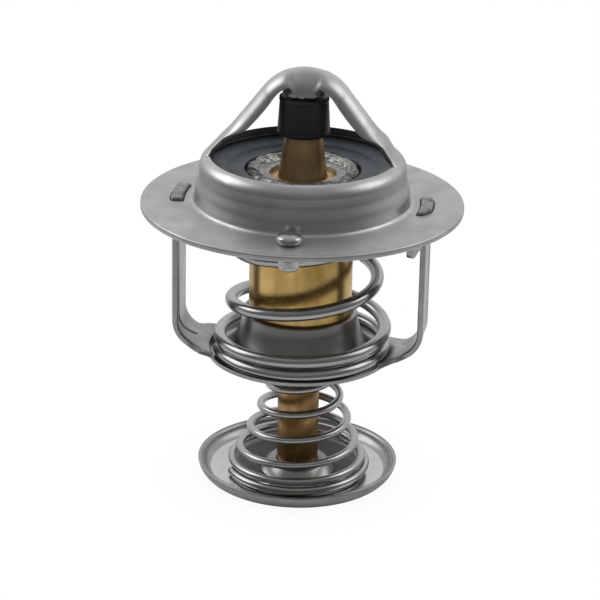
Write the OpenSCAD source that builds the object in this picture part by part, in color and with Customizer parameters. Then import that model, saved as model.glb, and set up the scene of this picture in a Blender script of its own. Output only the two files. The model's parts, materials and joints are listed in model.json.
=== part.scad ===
// Coolant flow valve with a wax element, a bridge on top, a cage with two arms,
// a main spring, and a small sprung bypass disc at the lower end.
// Millimetres. The origin is on the valve's axis, level with the top of the flange.
// +Z points up through the bridge, and the two arms stand on the X axis.

/* [Flange and dome] */
// Diameter of the flange
flange_d = 52; // [50:0.5:54]
// Thickness of the sheet in the flange, the dome and the bridge
sheet_t = 0.9; // [0.8:0.05:1]
// Outer radius of the dome where it leaves the flange
dome_r = 17.3; // [17.2:0.1:17.6]
// Height of the dome's rim above the flange
dome_h = 7.75; // [7.5:0.05:8]

/* [Bridge] */
// Height of the bridge above the flange
bridge_h = 22.25; // [22:0.05:22.5]
// Radius of the bend over the crown
crown_r = 8.5; // [8.2:0.1:8.8]
// Slope of the legs from level, in degrees
leg_angle = 52.4; // [51:0.2:54]
// Width of the bridge across its legs
bridge_w = 6.4; // [6:0.1:7]
// Depth of the channel at the top of a leg
channel_d = 2.6; // [2.5:0.1:3]
// Radius of the boss that holds the piston
boss_r = 3; // [2.8:0.05:3]
// Height of the boss's lower face above the flange
boss_z = 18; // [17.8:0.1:18.2]

/* [Cage] */
// Radius of the middle of the arms' sheet
arm_r = 20; // [19.8:0.1:20.2]
// Thickness of the cage's sheet in the arms
arm_t = 1; // [0.8:0.1:1]
// Width of an arm
arm_w = 8; // [7.6:0.1:8.4]
// Height at which the arms start to bend inwards
arm_bend_z = -20.4; // [-20.6:0.1:-20.2]
// Outer radius of the dish that carries the main spring
dish_r = 15; // [14.9:0.1:15.2]
// Height of the dish's floor, where the main spring stands
dish_z = -26.1; // [-26.2:0.1:-26]
// Bore radius of the collar round the cup
collar_r = 8.7; // [8.6:0.05:8.8]
// Height of the collar's upper edge
collar_z = -18.75; // [-19:0.05:-18.5]

/* [Main valve] */
// Radius of the valve plate
plate_r = 15.3; // [15:0.1:15.4]
// Outer radius of the wax cup
cup_r = 8.38; // [8.2:0.02:8.4]
// Height of the cup's bottom
cup_z = -21.7; // [-22:0.1:-21.5]
// Radius of the piston
piston_r = 2; // [1.9:0.05:2]
// Radial clearance between the piston and its guide
piston_gap = 0.06; // [0.03:0.01:0.09]
// Wire diameter of the main spring
main_wire = 2.1; // [2:0.05:2.2]

/* [Bypass valve] */
// Radius of the bypass disc
disc_r = 16.5; // [16:0.1:17]
// Height of the disc's underside
disc_z = -47.9; // [-48:0.1:-47.8]
// Height of the disc's turned-up edge
disc_h = 2.6; // [2.4:0.1:2.8]
// Radius of the stem
stem_r = 3.4; // [3.3:0.05:3.4]
// Wire diameter of the bypass spring
bypass_wire = 1.3; // [1.2:0.05:1.35]

/* [Jiggle pin] */
// Distance of the pin from the valve's axis
pin_y = 20.2; // [20:0.1:20.4]
// Turn of the vent pin's place about the axis, from -Y
pin_turn = 1.7; // [1:0.1:2.4]
// Radius of the pin's head
pin_head_r = 2.13; // [2:0.01:2.2]
// Travel of the pin
pin_travel = 1; // [0.8:0.1:1.2]

/* [Hidden] */
$fn = 96;

flange_r = flange_d / 2;
flange_under = -sheet_t;
loose = 0.05;               // clearance of parts that are slipped together
steel = "#b9bbbd";
spring_steel = "#a3a5a7";
slate = "#5d656d";
brass = "#b08d4f";
rubber = "#1d2126";

foot_r = 1.2;               // fillet between the flange and the dome
step_z = 2.3;               // height of the small step in the dome's wall
upper_r = 16.6;             // outer radius of the wall above the step
shoulder_r = 2.1;           // outer radius of the rounded shoulder
shoulder_end = 78;          // angle at which the shoulder stops at the rim

slot_y = 3.85;              // half the length of the slots for the arms' tabs
head_x = 2;                 // width of a staked tab
head_z = 0.7;               // height of a staked tab
pin_hole_r = 0.9;

plate_t = 0.9;
plate_drop = 0.9;           // the plate's middle is pressed down by this much
plate_rise = 0.75;          // and its edge slopes up by this much
plate_bore_r = 7.7;
plate_top = 5.5;
plate_under = plate_top - plate_t;
plate_mid_top = plate_top - plate_drop;
plate_mid_under = plate_under - plate_drop;
cup_wall = 1;
cup_floor = 1.2;
cup_step_z = 2.1;
guide_flange_top = 4;
guide_flange_under = 2.9;
washer_t = 0.6;
guide_top = 15.4;
cap_low = 11.4;
cap_top = 17.55;
piston_top = 19.6;
piston_low = -12;
sleeve_low = -16;

disc_t = 0.8;
disc_corner = 3;
hub_r = 4.5;
hub_foot_r = 6.5;
hub_top = -45.4;
hub_under = hub_top - disc_t;
stem_low = disc_z + 0.5;
seat_under = -27.2;
seat_t = 0.8;
clip_t = 0.5;
groove_r = 2.85;
clip_r = 3.95;              // stays inside the flat under the disc's hub

function arc(cx, cz, r, from, to, n) =
    [for (i = [0:n]) let(a = from + (to - from) * i / n) [cx + r * cos(a), cz + r * sin(a)]];
function unit(v) = v / norm(v);
function smooth(u) = let(v = min(max(u, 0), 1)) v * v * (3 - 2 * v);
// Integral of a step that rises evenly from 0 at a to 1 at b
function ramp(t, a, b) = t < a ? 0 : t < b ? pow(t - a, 2) / (2 * (b - a)) : t - (a + b) / 2;

// Solid through a list of rings with the same even number of points, closed by strips at both ends
module skin(rings) {
    n = len(rings);
    m = len(rings[0]);
    last = (n - 1) * m;
    points = [for (ring = rings) each ring];
    strip = [for (k = [0:m / 2 - 2]) [k, k + 1, m - 2 - k, m - 1 - k]];
    low_cap = [for (q = strip, half = [0, 1]) half == 0 ? [q[0], q[1], q[2]] : [q[0], q[2], q[3]]];
    high_cap = [for (f = low_cap) [last + f[2], last + f[1], last + f[0]]];
    sides = [for (i = [0:n - 2], k = [0:m - 1], half = [0, 1])
        let(a = i * m + k, b = i * m + (k + 1) % m)
        half == 0 ? [a, a + m, b] : [b, a + m, b + m]];
    polyhedron(points, concat(low_cap, high_cap, sides));
}

// Round wire along a coil, given by the points of its middle line
module wire(path, r, sides) {
    n = len(path);
    rings = [for (i = [0:n - 1])
        let(along = unit(path[min(i + 1, n - 1)] - path[max(i - 1, 0)]),
            out = unit([path[i].x, path[i].y, 0]),
            across = unit(out - along * (out * along)),
            up = cross(across, along))
        [for (k = [0:sides - 1]) let(a = 360 * (k + 0.5) / sides)
            path[i] + r * (cos(a) * across + sin(a) * up)]];
    skin(rings);
}

// Flange and dome, outside then inside, as one sheet
wall_top = dome_h - shoulder_r * sin(shoulder_end);
shoulder_c = upper_r - shoulder_r;
outer_wall = concat(
    [[flange_r, 0]],
    arc(dome_r + foot_r, foot_r, foot_r, 270, 180, 5),
    [[dome_r, step_z], [upper_r + 0.2, step_z + 0.8]],
    arc(shoulder_c, wall_top, shoulder_r, 0, shoulder_end, 8));
inner_wall = concat(
    arc(shoulder_c, wall_top, shoulder_r - sheet_t, shoulder_end, 0, 6),
    [[upper_r + 0.2 - sheet_t, step_z + 0.8], [dome_r - sheet_t, step_z],
        [dome_r - sheet_t, flange_under], [flange_r, flange_under]]);

// Bridge: a half pipe, open below, bent over the crown and straight down each leg
pipe_r = bridge_w / 2;
pipe_c = crown_r - pipe_r;
crown_c = bridge_h - crown_r;
leg_l = 15;
boss_top = bridge_h - pipe_r + 1;

module pipe_section() {
    difference() {
        circle(pipe_r);
        circle(pipe_r - sheet_t);
        translate([-pipe_r - channel_d, -pipe_r - 1]) square([2 * pipe_r, 2 * pipe_r + 2]);
    }
}

module crown() {
    translate([0, 0, crown_c]) rotate([90, 0, 0]) rotate([0, 0, 90 - leg_angle])
        rotate_extrude(angle = 2 * leg_angle) translate([pipe_c, 0]) pipe_section();
}

// The legs stop inside the sheet of the shoulder, so this shape cuts their inner ends
module under_shoulder() {
    rotate_extrude() polygon(concat(
        [[0, wall_top + (shoulder_r - sheet_t / 2) * sin(shoulder_end)]],
        arc(shoulder_c, wall_top, shoulder_r - sheet_t / 2, shoulder_end, 0, 6),
        [[shoulder_c + shoulder_r - sheet_t / 2, -1], [0, -1]]));
}

module leg() {
    difference() {
        translate([0, 0, crown_c]) rotate([0, 90 + leg_angle, 0]) translate([-pipe_c, 0, 0])
            linear_extrude(leg_l) mirror([1, 0]) pipe_section();
        under_shoulder();
    }
}

module flange_bridge() {
    color(steel) difference() {
        union() {
            rotate_extrude() polygon(concat(outer_wall, inner_wall));
            crown();
            leg();
            rotate(180) leg();
            translate([0, 0, boss_z]) cylinder(r = boss_r, h = boss_top - boss_z);
        }
        translate([0, 0, boss_z - 1]) cylinder(r = piston_r + 0.02, h = piston_top - boss_z + 1);
        at_pin() translate([0, 0, flange_under - 1]) cylinder(r = pin_hole_r, h = 3, $fn = 32);
        for (side = [0, 180]) rotate(side) arm_ring(arm_t + 2 * loose, slot_y, flange_under - 1, 1);
    }
}

// Piece of a tube of the arms' radius, t thick and 2 * y wide, from z low to high
module arm_ring(t, y, low, high) {
    intersection() {
        rotate_extrude() translate([arm_r - t / 2, low]) square([t, high - low]);
        translate([arm_r - 3, -y, low]) cube([6, 2 * y, high - low]);
    }
}

// Section of an arm: straight down, round the bend, and in to the dish
bend_r = 4.5;
bend_turn = 78;
arm_in = 14.75;
arm_fall = tan(90 - bend_turn);
bend_out = arc(arm_r - bend_r, arm_bend_z, bend_r + arm_t / 2, 0, -bend_turn, 10);
bend_in = arc(arm_r - bend_r, arm_bend_z, bend_r - arm_t / 2, -bend_turn, 0, 10);
function run_in(p) = [arm_in, p.y - (p.x - arm_in) * arm_fall];
arm_section = concat(
    [[arm_r + arm_t / 2, flange_under]], bend_out,
    [run_in(bend_out[10]), run_in(bend_in[0])], bend_in,
    [[arm_r - arm_t / 2, flange_under]]);
arm_plan = [[arm_in - 1, -6.4], [17.6, -arm_w / 2], [22, -arm_w / 2],
    [22, arm_w / 2], [17.6, arm_w / 2], [arm_in - 1, 6.4]];

// Lug beside an arm's top: a strip under the flange, hollowed by a flat arch, with a rounded tooth at its end
lug_end = 9.3;
tooth_w = 1.4;
tooth_low = -6.1;
lug_low = -5.8;
arch_r = 3.2;
arch_h = 0.4;
module lug() {
    intersection() {
        rotate_extrude() translate([arm_r - arm_t / 2, tooth_low - 1]) square([arm_t, flange_under - tooth_low + 1]);
        translate([arm_r - 3, 0, 0]) rotate([90, 0, 90]) linear_extrude(5) difference() {
            union() {
                translate([-lug_end, lug_low]) square([lug_end - arm_w / 2 + 0.5, flange_under - lug_low]);
                translate([-lug_end, tooth_low + tooth_w / 2])
                    square([tooth_w, flange_under - tooth_low - tooth_w / 2]);
                translate([-lug_end + tooth_w / 2, tooth_low + tooth_w / 2]) circle(tooth_w / 2, $fn = 24);
            }
            translate([-(lug_end - tooth_w + arm_w / 2) / 2, lug_low + arch_h - arch_r]) circle(arch_r);
        }
    }
}

// Dish with its turned-up edge and the tall collar in its middle
dish_t = 0.85;
dish_edge = [[dish_r - 0.5, -25.8], [dish_r, -25.8], [dish_r, dish_z - 0.2],
    [dish_r - 0.65, dish_z - dish_t]];
collar_inside = [[11.6, dish_z - dish_t], [10.5, -26.2], [9.6, -24.6], [9, -22.4],
    [collar_r, -20.4], [collar_r, collar_z]];
collar_outside = [[9.3, collar_z], [9.45, -20.4], [9.75, -22.2], [10.3, -24.2], [11.1, -25.5],
    [12.2, dish_z], [dish_r - 0.5, dish_z]];

module staked_tab() {
    arm_ring(arm_t, slot_y - loose, flange_under - 0.5, 0.1);
    hull() {
        for (x = [-1, 1], y = [-1, 1])
            translate([arm_r + x * (head_x / 2 - 0.5), y * (slot_y - 0.5), 0])
                cylinder(r1 = 0.5, r2 = 0.3, h = head_z, $fn = 16);
    }
}

module arm() {
    intersection() {
        rotate_extrude() polygon(arm_section);
        translate([0, 0, dish_z - 3]) linear_extrude(32) polygon(arm_plan);
    }
    lug();
    staked_tab();
}

module lower_frame() {
    color(steel) union() {
        rotate_extrude() polygon(concat(dish_edge, collar_inside, collar_outside));
        for (side = [0, 180]) rotate(side) arm();
    }
}

// Middle line of the main spring: close turns on the dish, then one wide open turn
main_turns = 5.3;
main_rings = 150;
main_start = 195;
main_pitch = 2.2;
main_open = 6.68;
function main_z(t) = dish_z + main_wire / 2 + main_pitch * t
    + main_open * (ramp(t, 1.3, 1.6) - ramp(t, 3.76, 4.22));
function main_r(t) = 13.5 - 2.7 * smooth((t - 0.6) / 2.8);
main_lift = plate_under - main_wire / 2 - main_z(main_turns);
main_path = [for (i = [0:main_rings]) let(t = main_turns * i / main_rings, a = main_start + 360 * t)
    [main_r(t) * cos(a), main_r(t) * sin(a), main_z(t) + main_lift * smooth(t / main_turns)]];

module main_spring() {
    color(spring_steel) wire(main_path, main_wire / 2, 10);
}

module piston() {
    color(steel) rotate_extrude()
        polygon([[0, piston_low], [piston_r - 0.8, piston_low], [piston_r, piston_low + 2],
            [piston_r, piston_top], [0, piston_top]]);
}

module main_valve_plate() {
    color(slate) rotate_extrude()
        polygon([[plate_bore_r, plate_mid_under], [9.6, plate_mid_under], [10, plate_under],
            [12.5, plate_under], [plate_r, plate_under + plate_rise], [plate_r, plate_top + plate_rise - 0.15],
            [plate_r - 0.3, plate_top + plate_rise], [12.3, plate_top], [9.4, plate_top],
            [9.1, plate_mid_top], [plate_bore_r, plate_mid_top]]);
}

// Steel ring rolled over the guide's foot: flat inside, with a raised rough edge
module crimp_ring() {
    color(steel) rotate_extrude()
        polygon([[5.3, guide_flange_top], [plate_bore_r - loose, guide_flange_top],
            [plate_bore_r - loose, plate_mid_top], [8.85, plate_mid_top], [8.9, 5.1], [8.5, 5.55],
            [7.7, 5.6], [7.15, 5.3], [6.95, 4.8], [5.3, 4.8]]);
}

cup_in_r = cup_r - cup_wall;
cup_mouth_r = plate_bore_r + 0.05;
module wax_cup() {
    color(brass) rotate_extrude()
        polygon(concat(
            [[0, cup_z]], arc(cup_r - 2.5, cup_z + 2.5, 2.5, -90, 0, 8),
            [[cup_r, plate_mid_under], [cup_mouth_r, plate_mid_under], [cup_mouth_r, cup_step_z],
                [cup_in_r, cup_step_z], [cup_in_r, cup_z + cup_floor + 1.5],
                [cup_in_r - 1.5, cup_z + cup_floor], [0, cup_z + cup_floor]]));
}

module piston_guide() {
    bore = piston_r + piston_gap;
    washer_top = guide_flange_under + washer_t;
    color(brass) rotate_extrude()
        polygon([[3.25, guide_flange_under], [cup_mouth_r - loose, guide_flange_under],
            [cup_mouth_r - loose, guide_flange_top], [3.95, guide_flange_top], [3, 11.2],
            [3, guide_top], [bore, guide_top], [bore, washer_top], [3.25, washer_top]]);
}

module guide_cap() {
    color(rubber) rotate_extrude()
        polygon([[3.15, cap_low], [4.15, cap_low], [4.2, cap_low + 0.2], [3.95, cap_top - 0.85],
            [4.02, cap_top - 0.65], [4.02, cap_top - 0.25], [3.8, cap_top], [2.08, cap_top],
            [2.08, guide_top], [3.15, guide_top]]);
}

module seal_sleeve() {
    color(rubber) rotate_extrude()
        polygon([[0, sleeve_low], [2.6, sleeve_low], [3.9, sleeve_low + 2], [3.9, cup_step_z],
            [cup_mouth_r - loose, cup_step_z], [cup_mouth_r - loose, guide_flange_under],
            [piston_r + 0.1, guide_flange_under], [piston_r + 0.1, piston_low + 1.8],
            [1.4, piston_low - 0.2], [0, piston_low - 0.2]]);
}

module backup_washer() {
    color("white") rotate_extrude()
        translate([piston_r + piston_gap, guide_flange_under]) square([1.1, washer_t]);
}

module wax_charge() {
    low = cup_z + cup_floor;
    color("#d9cfae") rotate_extrude()
        polygon([[0, low], [cup_in_r - 1.6, low], [cup_in_r - 0.05, low + 1.6],
            [cup_in_r - 0.05, cup_step_z - 0.05], [3.95, cup_step_z - 0.05],
            [3.95, sleeve_low + 2], [2.65, sleeve_low], [0, sleeve_low]]);
}

// Turned stem: thick down to the shoulder that stops the spring seat, with a groove for the clip
shoulder_z = seat_under + seat_t;
module bypass_stem() {
    groove_top = hub_under + 0.05;
    groove_low = hub_under - clip_t - 0.05;
    color(brass) rotate_extrude()
        polygon([[0, stem_low], [stem_r - 0.4, stem_low], [stem_r, stem_low + 0.4],
            [stem_r, groove_low], [groove_r, groove_low], [groove_r, groove_top], [stem_r, groove_top],
            [stem_r, shoulder_z], [4.6, shoulder_z], [4.6, cup_z], [0, cup_z]]);
}

module spring_seat() {
    color(steel) rotate_extrude()
        translate([stem_r + 0.02, seat_under]) square([5.6 - stem_r, seat_t]);
}

// Middle line of the bypass spring: a cone that narrows upwards
bypass_turns = 6.35;
bypass_rings = 160;
bypass_start = 205;
bypass_low = disc_z + disc_t + bypass_wire / 2;
function bypass_z(t) = bypass_low + 1.15 * t + 2.7 * (ramp(t, 0.9, 2.6) - ramp(t, 5.6, 6.1));
function bypass_r(t) = 11.45 - 6.7 * smooth((t + 0.15) / 6.5);
bypass_lift = seat_under - bypass_wire / 2 - bypass_z(bypass_turns);
bypass_path = [for (i = [0:bypass_rings]) let(t = bypass_turns * i / bypass_rings, a = bypass_start + 360 * t)
    [bypass_r(t) * cos(a), bypass_r(t) * sin(a), bypass_z(t) + bypass_lift * smooth(t / bypass_turns)]];

module bypass_spring() {
    color(spring_steel) wire(bypass_path, bypass_wire / 2, 8);
}

module bypass_disc() {
    lip = disc_z + disc_h;
    inner_corner = disc_corner - disc_t;
    color(steel) rotate_extrude()
        polygon(concat(
            [[stem_r + 0.08, hub_under], [hub_r - 0.5, hub_under], [hub_foot_r - 0.7, disc_z]],
            arc(disc_r - disc_corner, disc_z + disc_corner, disc_corner, -90, -8, 7),
            [[disc_r, lip], [disc_r - 0.5, lip]],
            arc(disc_r - disc_corner, disc_z + disc_corner, inner_corner, -8, -90, 6),
            [[hub_foot_r, disc_z + disc_t], [hub_r, hub_top], [stem_r + 0.08, hub_top]]));
}

module stem_clip() {
    color(spring_steel) translate([0, 0, hub_under - clip_t]) difference() {
        cylinder(r = clip_r, h = clip_t);
        translate([0, 0, -1]) cylinder(r = groove_r + 0.02, h = clip_t + 2);
        translate([0, -1.1, -1]) cube([6, 2.2, clip_t + 2]);
    }
}

weight_top = flange_under - pin_travel - 0.05;
weight_low = -4.3;
module at_pin() rotate(pin_turn) translate([0, -pin_y, 0]) children();

module jiggle_pin() {
    color(steel) at_pin() rotate_extrude($fn = 48)
        polygon([[0, weight_low], [0.65, weight_low], [0.65, 0], [1.6, 0], [pin_head_r - 0.1, 0.45],
            [pin_head_r, 0.75], [pin_head_r - 0.13, 1.05], [1.5, 1.45], [0.9, 1.65], [0, 1.7]]);
}

module jiggle_weight() {
    color(steel) at_pin() rotate_extrude($fn = 48)
        polygon([[0.65, weight_low], [1.35, weight_low], [1.65, weight_low + 0.35],
            [1.65, weight_top - 0.4], [1.2, weight_top], [0.65, weight_top]]);
}

flange_bridge();
lower_frame();
main_spring();
piston();
main_valve_plate();
crimp_ring();
wax_cup();
piston_guide();
guide_cap();
seal_sleeve();
backup_washer();
wax_charge();
bypass_stem();
spring_seat();
bypass_spring();
bypass_disc();
stem_clip();
jiggle_pin();
jiggle_weight();
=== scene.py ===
"""Looks of a coolant thermostat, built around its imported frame.

Every new piece is a surface worked out with numpy: a profile turned about the valve's axis, a section
carried along a path, or a patch between two curves. Lengths inside the functions are millimetres, in
the frame's own axes, and a mesh is scaled to metres when it is made.
"""

import json
import math

import bmesh
import bpy
import numpy as np
from mathutils import Matrix, Vector

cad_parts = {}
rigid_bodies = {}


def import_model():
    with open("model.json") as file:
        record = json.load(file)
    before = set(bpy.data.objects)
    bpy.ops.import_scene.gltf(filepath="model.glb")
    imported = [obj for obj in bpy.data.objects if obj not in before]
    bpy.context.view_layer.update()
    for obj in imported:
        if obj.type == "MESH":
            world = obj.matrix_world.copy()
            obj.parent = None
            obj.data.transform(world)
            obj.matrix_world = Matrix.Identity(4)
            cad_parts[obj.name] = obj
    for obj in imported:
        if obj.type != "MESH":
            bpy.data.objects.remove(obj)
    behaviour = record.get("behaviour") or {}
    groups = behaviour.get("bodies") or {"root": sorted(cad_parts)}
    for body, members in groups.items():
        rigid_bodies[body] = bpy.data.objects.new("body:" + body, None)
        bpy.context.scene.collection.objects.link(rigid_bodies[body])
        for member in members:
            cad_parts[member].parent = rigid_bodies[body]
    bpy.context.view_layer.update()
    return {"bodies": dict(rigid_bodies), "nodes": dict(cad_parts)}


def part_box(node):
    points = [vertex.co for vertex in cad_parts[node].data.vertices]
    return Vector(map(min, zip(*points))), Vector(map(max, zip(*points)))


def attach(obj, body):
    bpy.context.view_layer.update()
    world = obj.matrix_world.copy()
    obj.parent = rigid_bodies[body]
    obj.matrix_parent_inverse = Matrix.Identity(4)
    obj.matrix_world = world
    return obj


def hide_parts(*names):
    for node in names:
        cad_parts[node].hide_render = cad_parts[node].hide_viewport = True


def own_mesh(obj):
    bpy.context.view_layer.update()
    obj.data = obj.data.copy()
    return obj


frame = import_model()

bl_info = {
    "name": "Coolant thermostat",
    "version": (1, 0, 0),
    "blender": (4, 5, 0),
    "location": "View3D > Sidebar > Thermostat",
    "description": "Adds the finished pieces of a wax element thermostat to its frame",
    "category": "Add Mesh",
}

MM = 0.001
TURN = 2 * math.pi
SHOULDER_END = math.radians(78)  # angle at which the dome's round shoulder ends in the rim
FOOT_SPREAD = math.radians(13)  # half the angle about the axis that a foot of the bridge takes up
FOOT_SHARE = 0.52  # how far down the shoulder's arc the middle of a foot reaches
LEG_SLOPE = math.radians(52.4)  # slope of the bridge's legs
DISH_FLOOR = -26.1  # floor of the dish, which the main spring stands on
AIM = Vector((-0.00005, 0, -0.01726))  # point that the camera looks at, in metres
LAMP_AIM = Vector((0, 0, -0.015))  # point that the lamps face, in metres


def top(node):
    """Highest Z of a node of the frame, in millimetres."""
    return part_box(node)[1].z / MM


def low(node):
    """Lowest Z of a node of the frame, in millimetres."""
    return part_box(node)[0].z / MM


def reach(node):
    """Largest Y of a node of the frame, which is the radius of a round one, in millimetres."""
    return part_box(node)[1].y / MM


def length(label, text, value):
    """A size in metres, from a default in millimetres."""
    return bpy.props.FloatProperty(
        name=label, description=text, default=value * MM, min=0, unit="LENGTH", precision=5)


def angle_property(label, text, value):
    """An angle in radians."""
    return bpy.props.FloatProperty(name=label, description=text, default=value, subtype="ANGLE")


def colour(label, text, value):
    """A surface colour."""
    return bpy.props.FloatVectorProperty(
        name=label, description=text, default=value, size=3, min=0, max=1, subtype="COLOR")


class THERMOSTAT_PG_sizes(bpy.types.PropertyGroup):
    """Sizes that a user may change."""

    sheet: length("Sheet", "Thickness of the sheet in flange and dome", 0.9)
    dome_radius: length("Dome radius", "Outer radius of the dome at the flange", 17.3)
    shoulder_radius: length("Shoulder radius", "Outer radius of the dome under its shoulder", 16.6)
    shoulder_bend: length("Shoulder bend", "Radius of the dome's rounded shoulder", 2.1)
    rim_height: length("Rim height", "Height of the dome's rim above the flange", 7.75)
    crown_radius: length("Crown radius", "Radius of the bend over the bridge's crown", 8.5)
    bridge_width: length("Bridge width", "Width of the bridge across a leg", 6.4)
    bridge_depth: length("Bridge depth", "Depth of the channel that the bridge makes", 2.6)
    boss_radius: length("Boss radius", "Radius of the boss that holds the piston", 3.35)
    arm_radius: length("Arm radius", "Distance of the arms from the axis", 20)
    arm_width: length("Arm width", "Width of an arm of the cage", 8)
    arm_sheet: length("Arm sheet", "Thickness of the cage's sheet", 1)
    dish_radius: length("Dish radius", "Outer radius of the dish that carries the main spring", 15.1)
    main_wire: length("Main wire", "Wire diameter of the main spring", 2.1)
    bypass_wire: length("Bypass wire", "Wire diameter of the bypass spring", 1.3)
    pin_offset: length("Pin offset", "Distance of the vent pin from the axis", 20.2)


class THERMOSTAT_PG_colours(bpy.types.PropertyGroup):
    """Colours that a user may change."""

    steel: colour("Sheet steel", "Flange, dome and bridge", (0.56, 0.57, 0.57))
    # Near-black copy of the sheet steel: painted shade inside the dome
    inside: colour("Dome inside", "Dull inner face of the dome", (0.07, 0.075, 0.075))
    cage: colour("Cage steel", "Arms, dish and collar", (0.37, 0.37, 0.36))
    beaten: colour("Staked tabs", "Hammered heads of the tabs", (0.30, 0.31, 0.30))
    # Painted shadow in the slots round the tab heads
    gap: colour("Slot gap", "Gap round a tab's head", (0.05, 0.05, 0.05))
    wire: colour("Spring wire", "Both springs and the clip", (0.46, 0.455, 0.45))
    # Steel coloured near black: painted shade inside the dome
    slate: colour("Valve plate", "Plate that shuts the main valve", (0.085, 0.096, 0.105))
    crimp: colour("Rolled ring", "Rough ring on the valve plate", (0.40, 0.41, 0.39))
    cup: colour("Cup brass", "Wax cup", (0.70, 0.49, 0.19))
    guide: colour("Guide brass", "Piston guide", (0.74, 0.50, 0.27))
    stem: colour("Stem brass", "Bypass stem", (0.46, 0.285, 0.13))
    boot: colour("Boot rubber", "Boot on the guide", (0.008, 0.011, 0.014))
    disc: colour("Disc steel", "Bypass disc and the washer over its spring", (0.58, 0.58, 0.57))
    # Darker copy of the disc steel: painted shade on the lip and hub
    lip: colour("Disc lip", "Lip and hub of the bypass disc", (0.36, 0.36, 0.355))
    pin: colour("Pin steel", "Vent pin and its weight", (0.50, 0.50, 0.49))


class THERMOSTAT_PG_stage(bpy.types.PropertyGroup):
    """Where the camera stands, how it is held and its lens."""

    distance: length("Distance", "Camera's distance from the point it looks at", 434.5)
    elevation: angle_property("Elevation", "Camera's height angle", 0.3775)
    azimuth: angle_property("Azimuth", "Camera's turn about the object", math.radians(7))
    roll: angle_property("Roll", "Camera's roll", 0.0202)
    lens: bpy.props.FloatProperty(name="Lens", description="Focal length on a 36 mm sensor", default=160.0)


def sizes():
    """The sizes of the scene, in millimetres, by name."""
    group = bpy.context.scene.thermostat_sizes
    return {name: getattr(group, name) / MM for name in THERMOSTAT_PG_sizes.__annotations__}


# Curves and outlines

def unit(v):
    """Vectors of length one."""
    return v / np.linalg.norm(v, axis=-1, keepdims=True)


def radius(points):
    """Distance of points from the axis."""
    return np.hypot(points[..., 0], points[..., 1])


def at_angle(r, z, angle):
    """Radius and height turned about the axis: (r, z) goes to (r cos a, r sin a, z)."""
    return np.stack([r * np.cos(angle), r * np.sin(angle), z], -1)


def running_length(line):
    """Length along a line of points from its start to each point."""
    return np.concatenate([[0], np.cumsum(np.linalg.norm(np.diff(line, axis=0), axis=1))])


def smooth(x, start, end):
    """Goes from 0 at start to 1 at end with level ends: 3 u squared less 2 u cubed, where u is the share
    of the way that x has come. The start may be the larger of the two."""
    u = np.clip((x - start) / (end - start), 0, 1)
    return u * u * (3 - 2 * u)


def ramp(t, a, b):
    """Integral of a step that rises evenly from 0 at a to 1 at b."""
    return np.where(t < a, 0, np.where(t < b, (t - a) ** 2 / (2 * (b - a)), t - (a + b) / 2))


def rounded(corners, steps=7):
    """Outline with round corners, from rows of x, y and radius. Each corner is cut at its radius along
    both sides, or at 0.38 of the shorter side, and a parabola joins the two cuts; a guard point past
    each cut keeps flat faces flat. A corner gives steps + 2 points."""
    most_of_side, guard = 0.38, 1.25
    rows = np.array(corners, float)
    p, wanted = rows[:, :2], rows[:, 2:]
    back = np.roll(p, 1, 0) - p
    ahead = np.roll(p, -1, 0) - p
    long_back = np.linalg.norm(back, axis=1, keepdims=True)
    long_ahead = np.linalg.norm(ahead, axis=1, keepdims=True)
    cut = np.minimum(wanted, most_of_side * np.minimum(long_back, long_ahead))
    back = back / long_back * cut
    ahead = ahead / long_ahead * cut
    t = np.linspace(0, 1, steps)[None, :, None]
    curve = (1 - t) ** 2 * (p + back)[:, None] + 2 * t * (1 - t) * p[:, None] + t * t * (p + ahead)[:, None]
    guards = [(p + guard * back)[:, None], curve, (p + guard * ahead)[:, None]]
    return np.concatenate(guards, 1).reshape(-1, 2)


def resampled(outline, step):
    """The same line with points at most a step apart, found by its running length."""
    gaps = np.linalg.norm(np.diff(outline, axis=0), axis=1)
    line = outline[np.concatenate([[True], gaps > 1e-6])]
    run = running_length(line)
    count = int(run[-1] / step) + 1
    marks = np.unique(np.concatenate([run, np.linspace(0, run[-1], count)]))
    return np.stack([np.interp(marks, run, line[:, 0]), np.interp(marks, run, line[:, 1])], 1)


def lumps(angle, seed, waves, low_wave=3):
    """Sum of sines round the axis, whose heights and phases come from a fixed seed. Most of it lies
    between -1 and 1."""
    rng = np.random.default_rng(seed)
    k = np.arange(low_wave, low_wave + waves)
    phase = rng.uniform(0, TURN, waves)
    height = rng.uniform(0.5, 1, waves) / np.sqrt(waves)
    return (np.sin(angle[..., None] * k + phase) * height).sum(-1) * 1.2


# Meshes

def grid_faces(rows, columns, wrap_rows=False, wrap_columns=False):
    """Quads of a grid of points numbered row by row."""
    i = np.arange(rows if wrap_rows else rows - 1)[:, None]
    j = np.arange(columns if wrap_columns else columns - 1)[None, :]
    next_i = (i + 1) % rows
    next_j = (j + 1) % columns
    quads = [i * columns + j, i * columns + next_j, next_i * columns + next_j, next_i * columns + j]
    return np.stack(quads, -1).reshape(-1, 4)


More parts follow.
